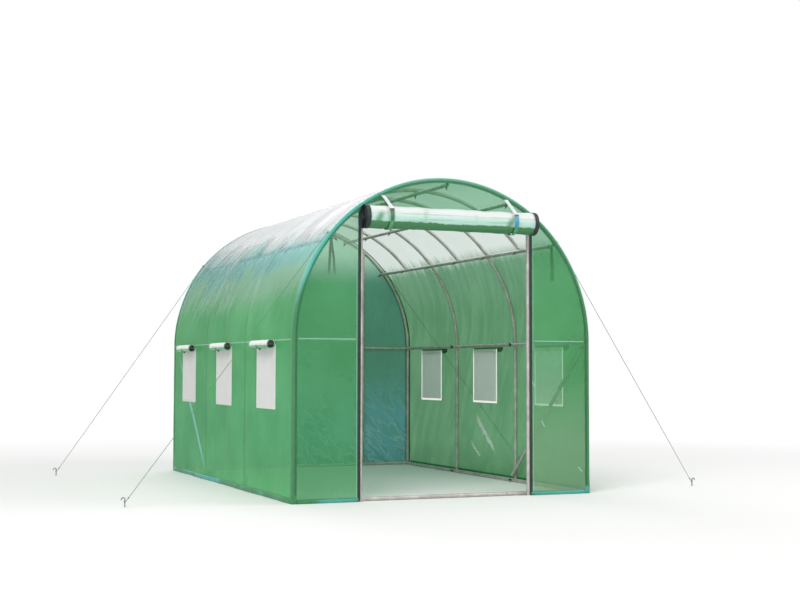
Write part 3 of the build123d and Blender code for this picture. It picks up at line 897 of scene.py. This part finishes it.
def film_lift(y, along):
    """How far the film is off its hoop line, for places down the tunnel and up the girth."""
    turn, _ = round_arch(along)
    height = np.where((along > leg_height) & (along < leg_height + half_turn),
                      leg_height + cover_radius * np.sin(turn), np.minimum(along, girth - along))
    roof = smooth_step(height, leg_height + 0.1, leg_height + 0.7)
    shoulder = smooth_step(height, 0.95, 1.25) * (1 - smooth_step(height, 1.55, 1.85))
    wall = 1 - smooth_step(height, 0.9, 1.2)
    bay_share = (y - front_y) / bay
    held_by_hoops = np.sin(math.pi * bay_share) ** 2
    held_by_ribs = np.sin(2 * math.pi * bay_share) ** 2
    sag = (-0.004 * held_by_hoops * wall - 0.0055 * held_by_ribs * roof
           - 0.004 * held_by_hoops * shoulder)
    side = np.where(along < girth / 2, 0.0, 5.0)
    lean = 1.1 * (along - leg_height)
    wide = ridges(y * 15 + lean * 1.5 + side, along * 1.7, 1)
    folds = wide * 0.6 + ridges(y * 31 - lean, along * 3.2, 2) * 0.4
    strength = 0.0055 * shoulder + 0.0013 * wall + 0.0007 * roof
    rearwards = 0.55 + 0.45 * smooth_step(y, -1.2, 0.6)
    slack = 0.35 + 0.65 * np.abs(np.sin(math.pi * bay_share)) ** 0.7
    lift = sag + folds * strength * rearwards * slack
    lift += cloth_noise(y * 4 + side, along * 3, 5) * 0.0015
    foot = 1 - smooth_step(height, 0.0, 0.16)
    lift += foot * (0.003 + 0.003 * cloth_noise(y * 9 + side, along * 4, 7))
    calm = np.ones_like(y)
    edges = (window_size / 2 + 0.02, window_size / 2 + 0.12)
    near_z = smooth_step(np.abs(height - window_sill - window_size / 2), *edges)
    for window_y in window_ys:
        near_y = smooth_step(np.abs(y - window_y), *edges)
        calm = calm * (1 - (1 - near_y) * (1 - near_z) * 0.85)
    return lift * calm


def film_place(y, along, stand=0.0):
    """Where the film is, stand further out, for places down the tunnel and up the girth."""
    turn, below = round_arch(along)
    radius = cover_radius + film_lift(y, along) + stand
    return in_rows(radius * -np.cos(turn), y, leg_height + below + radius * np.sin(turn))


def lay_grid(name, columns, rows, place):
    """A sheet: a grid of these columns and rows, each vertex put where place says."""
    sheet = start(name, bpy.ops.mesh.primitive_grid_add, x_subdivisions=len(columns) - 1,
                  y_subdivisions=len(rows) - 1, size=1.0, calc_uvs=True)
    set_mode("OBJECT")
    flat = np.empty(len(sheet.data.vertices) * 3)
    sheet.data.vertices.foreach_get("co", flat)
    flat = flat.reshape(-1, 3)
    column = columns[np.rint((flat[:, 0] + 0.5) * (len(columns) - 1)).astype(int)]
    row = rows[np.rint((flat[:, 1] + 0.5) * (len(rows) - 1)).astype(int)]
    sheet.data.vertices.foreach_set("co", place(column, row).ravel())
    sheet.data.update()
    bpy.ops.object.shade_smooth()
    return sheet


def face_outwards(sheet, outward):
    """Turns a sheet over if it looks the wrong way. Outward is a direction, or finds one."""
    find = outward if callable(outward) else lambda centre: outward
    facing = sum(polygon.normal.dot(find(polygon.center)) for polygon in sheet.data.polygons)
    if facing < 0:
        sheet.data.flip_normals()
    return sheet


def arch_outward(place):
    """Away from the middle of the tunnel, at a place on the cover."""
    return Vector((place.x, 0, max(0, place.z - leg_height)))


film_step = 0.021
window_head = window_sill + window_size
window_stops = sorted(y + side * window_size / 2 for y in window_ys for side in (-1, 1))
ys = spread([cover_front, *window_stops, cover_rear], film_step)
alongs = spread([0, window_sill, window_head, leg_height, leg_height + half_turn,
                 girth - window_head, girth - window_sill, girth], film_step)


def in_window(face):
    """True for a face of the cover that is in one of the window openings."""
    centre = face.calc_center_median()
    return (window_sill < centre.z < window_head
            and any(abs(centre.y - window_y) < window_size / 2 for window_y in window_ys))


cover = lay_grid("cover_sheet", ys, alongs, film_place)
choose(cover)
set_mode("EDIT")
pick(cover, in_window, "faces")
bpy.ops.mesh.delete(type="FACE")
set_mode("OBJECT")
face_outwards(cover, arch_outward)
fit(cover, cover_green, "green_film", "cover_wall_left", "cover_wall_right", "cover_shoulder_left",
    "cover_shoulder_right", "cover_crown_left", "cover_crown_right")


# Mesh windows with a border of white tape, sewn into the walls

border_width = 0.018
mesh_overlap = 0.003
mesh_stand = 0.0004
panel_step = 0.02
window_half = window_size / 2
border_half = window_half - border_width
mesh_half = border_half + mesh_overlap


def wall_patch(name, side, across, heights, stand):
    """A sheet that lies on a side wall."""
    return face_outwards(lay_grid(name, across, heights, lambda y, z: film_place(
        y, z if side < 0 else girth - z, stand)), arch_outward)


def window_panel(name, side, window_y, corners, stand):
    """A rectangle of cloth in a side wall. Its corners are counted from the window's middle."""
    left, foot, right, top = corners
    middle_z = window_sill + window_half
    across = spread([window_y + left, window_y + right], panel_step)
    heights = spread([middle_z + foot, middle_z + top], panel_step)
    return wall_patch(name, side, across, heights, stand)


for side_name, side in SIDES:
    for number, window_y in enumerate(window_ys):
        label = f"{side_name}_{number + 1}"
        panel = window_panel(f"window_{label}", side, window_y,
                             (-mesh_half, -mesh_half, mesh_half, mesh_half), mesh_stand)
        fit(panel, white_mesh, "window_mesh", f"windows_{side_name}")
        strips = [window_panel("tape_strip", side, window_y, corners, 0.0) for corners in (
            (-window_half, -window_half, window_half, -border_half),
            (-window_half, border_half, window_half, window_half),
            (-window_half, -border_half, -border_half, border_half),
            (border_half, -border_half, window_half, border_half))]
        fit(join(f"window_tape_{label}", strips), white_tape, "window_mesh")


# Gable sheets

film_gap = 0.0013
gable_radius = cover_radius - film_gap
zip_width = 0.025
seam_x = abs(zips_low.x) - zip_width / 2
crown_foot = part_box("cover_front_top")[0].z


class Gable:
    """A gable's plane, its outward side, and how deep its folds are above and at the ground."""

    def __init__(self, y, outward, shallow, deeper, low, high):
        self.y, self.outward = y, outward
        self.shallow, self.deeper, self.low, self.high = shallow, deeper, low, high

    def place(self, x, z, edges, seed, stand=0.0):
        """Where the film is, stand further out. It is held at its two edges and at the arch."""
        left, right = edges
        strength = self.shallow + self.deeper * (1 - smooth_step(z, self.low, self.high))
        edge = smooth_step(np.minimum(np.minimum(arch_top(x) - z, right - x), x - left), 0.0, 0.12)
        wide = ridges(x * 9 + z * 2.5, z * 3.0 - x, seed)
        folds = wide * 0.6 + ridges(x * 21 - z * 4, z * 7 + x * 3, seed + 3) * 0.4
        lift = edge * strength * (folds + 0.4) + stand
        return in_rows(x, self.y + self.outward * lift, z)

    def lay(self, name, columns, rows, place):
        """A sheet on the gable that faces away from the tunnel."""
        return face_outwards(lay_grid(name, columns, rows, place), Vector((0, self.outward, 0)))

    def sheet(self, name, edges, foot, seed, material, node):
        """A piece of film between two edges, from its foot up to the arch."""
        def placed(x, share):
            return self.place(x, foot + (arch_top(x) - foot) * share, edges, seed)

        shares = spread([0.0, 1.0], film_step / 1.5)
        sheet = self.lay(name, spread(edges, film_step), shares, placed)
        return fit(sheet, material, "green_film", node)

    def foot_hem(self, name, edges, seed):
        """The doubled foot of a sheet between two edges."""
        reach = gable_radius - hem_width
        ends = [edge if abs(edge) < reach else math.copysign(reach, edge) for edge in edges]
        hem = self.lay(name, spread(ends, film_step), spread([0.001, foot_hem_height * 0.7], 0.011),
                       lambda x, z: self.place(x, z, edges, seed, hem_stand))
        return fit(thicken(hem, foot_hem_thickness), teal_binding, "hem_film")


def arch_top(x):
    """How high the arch of a gable stands above x."""
    return leg_height + np.sqrt(np.maximum(gable_radius**2 - x**2, 0))


front = Gable(front_y - tube_radius - film_gap, -1, 0.0035, 0.003, 0.0, 0.5)
rear = Gable(rear_y + tube_radius + film_gap, 1, 0.004, 0.008, 0.3, 1.0)
left_edges, right_edges = (-gable_radius, -seam_x), (seam_x, gable_radius)
door_edges, whole = (-seam_x, seam_x), (-gable_radius, gable_radius)
front_left = front.sheet("front_sheet_left", left_edges, 0.0, 11, gable_green, "cover_front_left")
front_right = front.sheet("front_sheet_right", right_edges, 0.0, 23, gable_green,
                          "cover_front_right")
front_crown = front.sheet("front_sheet_crown", door_edges, crown_foot, 37, gable_green,
                          "cover_front_top")
rear_sheet = rear.sheet("rear_sheet", whole, 0.0, 51, rear_green, "cover_rear")


# Hems: the binding round each arch, and the doubled foot of the cover

hem_width = 0.030
hem_back = 0.028
hem_thickness = 0.0015
hem_stand = 0.0022
foot_hem_height = 0.032
foot_hem_thickness = 0.0016


def arch_hem(place_name, outward):
    """A strip of film folded over the edge of the cover, from foot to foot of an arch."""
    middle_y = middle(f"arch_hem_{place_name}", Y)
    profile = ((-hem_width, 0.0), (-hem_width * 0.55, 0.0), (-0.004, 0.0), (-0.001, 0.0006),
               (0.0, 0.003), (0.0003, 0.012), (0.0, hem_back))
    rises, backs = np.array(profile).T

    def place(column, along):
        number = column.astype(int)
        ripple = cloth_noise(along * 7, column * 0.8, 3) * 0.0009
        turn, below = round_arch(along)
        radius = cover_radius + hem_stand + rises[number] + np.where(number > 3, ripple, 0)
        depth = backs[number] - np.where(number < 3, np.abs(ripple), 0)
        return in_rows(-radius * np.cos(turn), middle_y - outward * depth,
                       leg_height + below + radius * np.sin(turn))

    hem = lay_grid(f"arch_binding_{place_name}", np.arange(len(profile), dtype=float),
                   spread([0.006, girth - 0.006], 0.03), place)
    face_outwards(hem, arch_outward)
    return fit(thicken(hem, hem_thickness, 50), teal_binding, "hem_film", f"arch_hem_{place_name}")


arch_hems = [arch_hem("front", -1), arch_hem("rear", 1)]
for side_name, side in SIDES:
    hem = wall_patch(f"foot_hem_{side_name}", side,
                     spread([cover_front + hem_width, cover_rear - hem_width], film_step),
                     spread([0.001, foot_hem_height], 0.012), foot_hem_thickness)
    fit(thicken(hem, foot_hem_thickness), teal_binding, "hem_film")
front_left_foot = front.foot_hem("front_foot_hem_left", left_edges, 11)
front_right_foot = front.foot_hem("front_foot_hem_right", right_edges, 23)
rear_foot = rear.foot_hem("rear_foot_hem", whole, 51)


# The rolled-up door, with its own halves of the zips round both ends

def rolled_sheet(name, left, right, outer, core, turns, ripple, step=0.02, pinches=()):
    """A sheet rolled round the X axis from a core radius to an outer one, from left to right."""
    rows = spread([0.0, turns * 2 * math.pi], math.radians(10))

    def place(x, turn):
        share = turn / rows[-1]
        wave = (cloth_noise(x * 9, np.sin(turn) * 0.9, 13) * 0.6
                + cloth_noise(x * 27, np.sin(turn) * 1.3, 17) * 0.4)
        pinch = sum(np.exp(-((x - spot) / 0.022) ** 2) for spot in pinches)
        radius = (core + (outer - core) * share) * (1 - 0.05 * pinch) + ripple * (wave - 1) * share
        flat = 1 - 0.015 * np.cos(2 * turn)
        return in_rows(x, -radius * flat * np.cos(turn), -radius / flat * np.sin(turn))

    roll = lay_grid(name, spread([left, right], step), rows, place)
    face_outwards(roll, lambda centre: Vector((0, centre.y, centre.z)))
    return thicken(roll, 0.0011, 50, offset=-1.0)


roll_half = (roll_high.x - roll_low.x) / 2
roll_core = 0.016
roll_turns = 6.5
roll_place = Matrix.Translation((roll_x, roll_y, roll_z))
strap_width = 0.025
strap_xs = {"left": straps_low.x + strap_width / 2, "right": straps_high.x - strap_width / 2}
tape_edge = roll_half - 0.024
door_sheet = rolled_sheet("door_sheet", -tape_edge, tape_edge, roll_radius, roll_core, roll_turns,
                          0.0045, pinches=[x - roll_x for x in strap_xs.values()])
door_sheet.data.transform(roll_place)
fit(door_sheet, door_film, "green_film", "door_roll")
for side_name, side in SIDES:
    left, right = sorted((side * roll_half, side * (tape_edge - 0.002)))
    tape = rolled_sheet(f"door_roll_tape_{side_name}", left, right, roll_radius + 0.0012, roll_core,
                        roll_turns, 0.0010, step=0.006)
    tape.data.transform(roll_place)
    fit(tape, zip_cloth, "zip_tape", "door_roll")


# Ribbons: straps, bands and ties

def ribbon(name, points, across, width, thickness, sway=0.0):
    """A flat strip of cloth that follows a line of points, its width along across."""
    line = np.array([tuple(point) for point in points], float)
    steps = np.concatenate([[0.0], np.cumsum(np.linalg.norm(np.diff(line, axis=0), axis=1))])
    across = np.array(tuple(across), float)

    def place(share, along):
        centre = in_rows(*(np.interp(along, steps, line[:, axis]) for axis in (X, Y, Z)))
        swing = sway * np.sin(along * 40)[:, None] * np.array((0, 1, 0))
        return centre + across * (share * width)[:, None] + swing

    shares = np.array([-0.5, -0.25, 0.25, 0.5])
    strip = lay_grid(name, shares, spread([0.0, steps[-1]], 0.006), place)
    return thicken(strip, thickness, 40)


def round_roll(turn, radius, x=0.0):
    """A point on the door roll, at a turn in degrees from straight behind it, over the top."""
    angle = math.radians(turn)
    return Vector((x, roll_y + radius * math.cos(angle), roll_z + radius * math.sin(angle)))


strap_radius = roll_radius - 0.0005
buckle_turn = 150.0
band_turn = 205.0
band_end_turn = 292.0
tail_height = 0.038
knot_stand = 0.0051
knot_radius = cover_radius + 0.001 - hem_width + 0.003
for (side_name, strap_x), band_cloth in zip(strap_xs.items(), (green_band, blue_band)):
    knot_z = leg_height + math.sqrt(knot_radius**2 - strap_x**2)
    knot = Vector((strap_x, cover_front - knot_stand, knot_z))
    reach = knot - Vector((strap_x, roll_y, roll_z))
    meets = math.degrees(math.atan2(reach.z, reach.y) + math.acos(strap_radius / reach.length))
    turns = (meets, buckle_turn, band_turn, band_end_turn, 360)
    arcs = [[round_roll(turn, strap_radius, strap_x) for turn in np.linspace(first, last, count)]
            for first, last, count in zip(turns, turns[1:], (6, 12, 16, 12))]
    arcs[0].insert(0, knot)
    arcs[-1].append(arcs[-1][-1] + Vector((0, 0, tail_height)))
    strap_parts = (("webbing", 0, webbing), ("band", 0.002, band_cloth),
                   ("under", 0.002, under_band), ("tail", 0, webbing))
    for arc, (part, narrower, cloth) in zip(arcs, strap_parts):
        strip = ribbon(f"strap_{part}_{side_name}", arc, (1, 0, 0), strap_width - narrower, 0.0014)
        fit(strip, cloth, "white_webbing", "door_straps")


def buckle(name):
    """A small ladder buckle: a rounded frame with a bar across the middle."""
    plate = start(name, bpy.ops.mesh.primitive_cube_add, size=1.0, scale=(0.031, 0.005, 0.014))
    pick_all()
    bpy.ops.mesh.bevel(offset=0.0015, segments=2)
    pick(plate, lambda face: abs(face.normal.y) > 0.95, "faces")
    bpy.ops.mesh.inset(thickness=0.003, use_individual=True)
    bpy.ops.mesh.inset(thickness=0.0, depth=-0.0018, use_individual=True)
    close(plate)
    bar = start("buckle_bar", bpy.ops.mesh.primitive_cylinder_add, vertices=10, radius=0.0018,
                depth=0.026, rotation=(0, math.pi / 2, 0))
    pick_all()
    widen((1, 0.8, 1), (0, 0, 0))
    return join(name, [plate, close(bar)])


first_buckle = buckle("buckle")
tilt = Matrix.Rotation(math.radians(180 - buckle_turn), 4, "X")
for side_name, strap_x in strap_xs.items():
    spot = Matrix.Translation(round_roll(buckle_turn, roll_radius + 0.001, strap_x))
    fit(copied(first_buckle, f"strap_buckle_{side_name}", spot @ tilt), buckle_plastic,
        "white_webbing")
bpy.data.objects.remove(first_buckle)


# Zips beside the door

zip_foot, zip_top = zips_low.z, zips_high.z
zip_y = middle("door_zips", Y)
tooth_pitch = 0.0042
tape_width = 0.017


def zip_side(side_name, side):
    """One side of the door's zip: a woven tape with a row of teeth along its inner edge."""
    tape = start(f"zip_tape_{side_name}", bpy.ops.mesh.primitive_cube_add, size=1.0,
                 location=(side * (seam_x - 0.001), zip_y, (zip_foot + zip_top) / 2),
                 scale=(tape_width, 0.0011, zip_top - zip_foot))
    pick(tape, lambda face: face.normal.y < -0.9, "faces")
    bpy.ops.mesh.inset(thickness=0.0025)
    bpy.ops.transform.translate(value=(0, 0.0003, 0))
    close(tape)
    tooth_x, tooth_y = side * (seam_x - tape_width / 2 + 0.0002), zip_y - 0.0008
    first_z = zip_foot + 0.003
    tooth = start("tooth", bpy.ops.mesh.primitive_cube_add, size=1.0,
                  location=(tooth_x, tooth_y, first_z), scale=(0.0042, 0.0021, 0.0026))
    pick(tooth, lambda face: face.normal.x * side < -0.9, "faces")
    widen((1, 0.6, 0.5), (0, tooth_y, first_z))
    close(tooth)
    teeth = repeat_up(tooth, int((zip_top - zip_foot - 0.006) / tooth_pitch), tooth_pitch)
    teeth.name = f"zip_teeth_{side_name}"
    fit(tape, zip_cloth, "zip_tape", "door_zips")
    fit(teeth, zip_plastic, "zip_tape", "door_zips")


for side_name, side in SIDES:
    zip_side(side_name, side)


# Window flaps rolled up above the windows, each held by a tie

flap_core = 0.006
flap_turns = 4.25
flap_half = (flap_high.y - flap_low.y - (window_count - 1) * bay) / 2
flap = join("window_flap", [
    rolled_sheet("window_flap", -flap_half + 0.003, flap_half - 0.003, flap_radius - 0.002,
                 flap_core, flap_turns, 0.0006),
    rolled_sheet("flap_wrap", -flap_half, flap_half, flap_radius, flap_radius - 0.0012, 1.05,
                 0.0008)])
flap_edge = rolled_sheet("flap_edge", -flap_half + 0.0005, -flap_half + 0.004, flap_radius - 0.003,
                         flap_core, flap_turns, 0.0003, step=0.003)
tie_arc = [Vector((0, math.cos(turn), math.sin(turn))) * (flap_radius + 0.0009)
           for turn in np.linspace(math.radians(195), math.radians(345), 14)]
tie_band = ribbon("flap_tie", tie_arc, (1, 0, 0), 0.010, 0.0012)
tie_knot = start_ring("tie_knot", 0.0045, 0.0026, 14, 8, location=(0, 0, -flap_radius - 0.0022),
                      rotation=(0, math.pi / 2, 0.3))
flap_tie = join("flap_tie", [tie_band, tie_knot])
flap_tie.data.transform(Matrix.Translation((0.036, 0, 0)))
quarter, half = (Matrix.Rotation(turn, 4, "Z") for turn in (math.pi / 2, math.pi))
for side_name, side in SIDES:
    node = f"window_rolls_{side_name}"
    for number, window_y in enumerate(window_ys):
        placing = Matrix.Translation((side * flap_x, window_y, flap_z)) @ quarter
        label = f"{side_name}_{number + 1}"
        fit(copied(flap, f"window_flap_{label}", placing), flap_film, "green_film", node)
        edges = [copied(flap_edge, "edge", placing), copied(flap_edge, "edge", placing @ half)]
        fit(join(f"window_flap_edges_{label}", edges), zip_cloth, "zip_tape", node)
        fit(copied(flap_tie, f"window_flap_tie_{label}", placing), dark_tie, "dark_tie", node)
for first in (flap, flap_edge, flap_tie):
    bpy.data.objects.remove(first)


# Ties knotted round the shoulder purlins behind the front hoop, their ends hanging

tie_width = 0.012
tie_front = front_y + tube_radius + 0.003
tail_width = 0.016
tie_length = 0.225
ties = []
for side, splay in ((-1, 5.5), (1, 2.0)):
    centre = Vector((side * inside_radius * math.cos(shoulder_angle), tie_front + tie_width / 2,
                     leg_height + inside_radius * math.sin(shoulder_angle)))
    wrap = [centre + Vector((math.cos(turn), 0, math.sin(turn))) * (tube_radius + 0.0012)
            for turn in np.linspace(-math.pi / 2, 1.5 * math.pi, 25)]
    ties.append(ribbon("tie_wrap", wrap, (0, 1, 0), tie_width, 0.0012))
    for lean in (-1, 1):
        angle = math.radians(1.5 + splay * lean)
        tail_y = 0.0012 * lean - tie_width / 2 + 0.002
        tail = []
        for along in np.linspace(0, tie_length - tube_radius, 24):
            tail_x = side * 0.008 + math.sin(angle) * along + 0.002 * lean * math.sin(along * 17)
            tail.append(centre + Vector((tail_x, tail_y, -tube_radius - math.cos(angle) * along)))
        ties.append(ribbon("tie_tail", tail, (0.97, 0.25 * lean, 0), tail_width, 0.0012, 0.002))
fit(join("shoulder_tie_ribbons", ties), dark_tie, "dark_tie", "shoulder_ties")


# Guy ropes and pegs

pegs_low, pegs_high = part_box("guy_pegs")
peg_radius = 0.004
hook_radius = 0.010
peg_x = pegs_high.x - peg_radius - 2 * hook_radius
peg_top = pegs_high.z - peg_radius - hook_radius
peg_ys = (pegs_low.y + peg_radius, pegs_high.y - peg_radius)
ring_z = 0.032
rope_radius = 0.002
strand_radius = rope_radius * 0.95
loop_radius = peg_radius + rope_radius
rope_pitch = 0.021


def peg(side, y):
    """A round steel peg, its top bent over into a hook away from the tunnel."""
    foot = Vector((side * peg_x, y, 0))
    piece = tube_ring("peg", foot, Vector((0, 0, 1)), peg_radius)
    run_on(foot, Vector((side * peg_x, y, peg_top)))
    bpy.ops.mesh.spin(steps=12, angle=math.pi, center=(side * (peg_x + hook_radius), y, peg_top),
                      axis=(0, -side, 0))
    pull(0, 0, -0.004)
    fill_ends(piece, 0.001)
    return close(piece)


pegs = [peg(side, y) for y in peg_ys for side in (-1, 1)]
fit(join("ground_pegs", pegs), peg_coat, "peg_steel", "guy_pegs")


def facing_along(run):
    """The turn that makes straight up face along a run."""
    return run.to_track_quat("Z", "Y").to_matrix().to_4x4()


def twisted_rope(name, first, last):
    """A rope of three strands laid round each other, taut from first to last."""
    run = last - first
    strand = start(name, bpy.ops.mesh.primitive_circle_add, vertices=9, radius=rope_radius * 0.94,
                   fill_type="NOTHING")
    pick(strand, lambda vert: vert.index % 3 == 0)
    widen((0.66, 0.66, 1), (0, 0, 0))
    pick_all()
    third = rope_pitch / 3
    steps = 4
    for _ in range(steps):
        pull(0, 0, third / steps)
        bpy.ops.transform.rotate(value=2 * math.pi / 3 / steps, orient_axis="Z",
                                 center_override=(0, 0, 0))
    set_mode("OBJECT")
    count = max(1, round(run.length / third))
    repeat_up(strand, count, third, use_merge_vertices=True, merge_threshold=0.0001)
    set_mode("EDIT")
    close(strand, 60)
    stretch = Matrix.Diagonal((1, 1, run.length / strand.dimensions.z, 1))
    strand.data.transform(Matrix.Translation(first) @ facing_along(run) @ stretch)
    return strand


def rope_knot(name, place, direction, size):
    """A knot of three turns of rope, one over the other."""
    turns = []
    for number, lean in enumerate((0.16, -0.12, 0.2)):
        turn = start_ring(name, size * 0.62, strand_radius, 18, 7)
        tilt = Matrix.Rotation(lean, 4, "X") @ Matrix.Rotation(lean * 0.6, 4, "Y")
        along = Matrix.Translation((0, 0, size * (0.3 + number * 0.62)))
        turn.data.transform(Matrix.Translation(place) @ facing_along(direction) @ along @ tilt)
        turns.append(turn)
    return turns


rope_top_radius = cover_radius + 0.0079
for place, peg_y, gable_y in zip(("front", "rear"), peg_ys, (front_y, rear_y)):
    for side_name, side in SIDES:
        top = Vector((side * rope_top_radius * math.cos(shoulder_angle), gable_y,
                      leg_height + rope_top_radius * math.sin(shoulder_angle)))
        peg_middle = Vector((side * peg_x, peg_y, ring_z))
        level = Vector((top.x - peg_middle.x, top.y - peg_middle.y, 0)).normalized()
        foot = peg_middle + level * loop_radius
        direction = (foot - top).normalized()
        parts = [twisted_rope("rope", top, foot), *rope_knot("rope_knot", top, direction, 0.005),
                 start_ring("rope_loop", loop_radius, strand_radius, 24, 8, location=peg_middle),
                 *rope_knot("foot_knot", foot - direction * 0.028, direction, 0.0045)]
        fit(join(f"guy_rope_{place}_{side_name}", parts), rope_twine, "guy_rope", "guy_ropes")


# The areas of the gable sheets under the arch, worked out and not kept

def arch_area(low, high):
    """The area under a gable's arch between two places across the tunnel, from the ground up."""
    def until(x):
        arc = x * math.sqrt(gable_radius**2 - x**2) + gable_radius**2 * math.asin(x / gable_radius)
        return leg_height * x + arc / 2
    return until(high) - until(low)


edge_x = gable_radius - 1e-9
for sheet, foot_hem in ((front_left, front_left_foot), (front_right, front_right_foot)):
    arch_area(seam_x, edge_x)
arch_area(-seam_x, seam_x) - 2 * seam_x * crown_foot
arch_area(-edge_x, edge_x)


# Studio: a pale floor that fades into a white backdrop, and soft lamps above, in front and behind

floor = start("floor", bpy.ops.mesh.primitive_circle_add, vertices=64, radius=60.0,
              fill_type="NGON")
set_mode("OBJECT")
recipe = Recipe("studio_floor")
x, y, _ = recipe.along()
distance = (x * x + y * y) ** 0.5
seen = recipe.node("LightPath", output="Is Camera Ray")
matt = recipe.node("BsdfPrincipled", {"Base Color": (0.84, 0.84, 0.83), "Roughness": 0.9})
white = recipe.node("Emission", {"Color": (1.0, 1.0, 1.0), "Strength": 1.0})
fade = seen * distance.between(2.4, 7.0)
floor.data.materials.append(recipe.finish(recipe.mix(fade, matt, white)))

world = bpy.data.worlds.new("studio_world")
bpy.context.scene.world = world
recipe = Recipe(world)
rays = recipe.outputs("LightPath", ("Is Camera Ray", "Is Glossy Ray", "Is Transmission Ray"))
full = rays[0].most(rays[1]).most(rays[2])
strength = recipe.node("MapRange", {"Value": full, "To Min": 0.55, "To Max": 1.0})
recipe.finish(recipe.node("Background", {"Color": (1.0, 1.0, 1.0), "Strength": strength}), "World")

lamps = (((-5.0, -6.5, 7.0), 520.0), ((5.5, -3.0, 5.0), 160.0), ((0.0, 6.0, 6.5), 180.0))
for place, power in lamps:
    bpy.ops.object.light_add(type="AREA", location=place)
    lamp = bpy.context.active_object
    lamp.data.size = 4.0
    lamp.data.energy = power
    lamp.rotation_euler = (Vector((0, 0, 0.9)) - Vector(place)).to_track_quat("-Z", "Y").to_euler()

bpy.context.scene.view_settings.view_transform = "Standard"
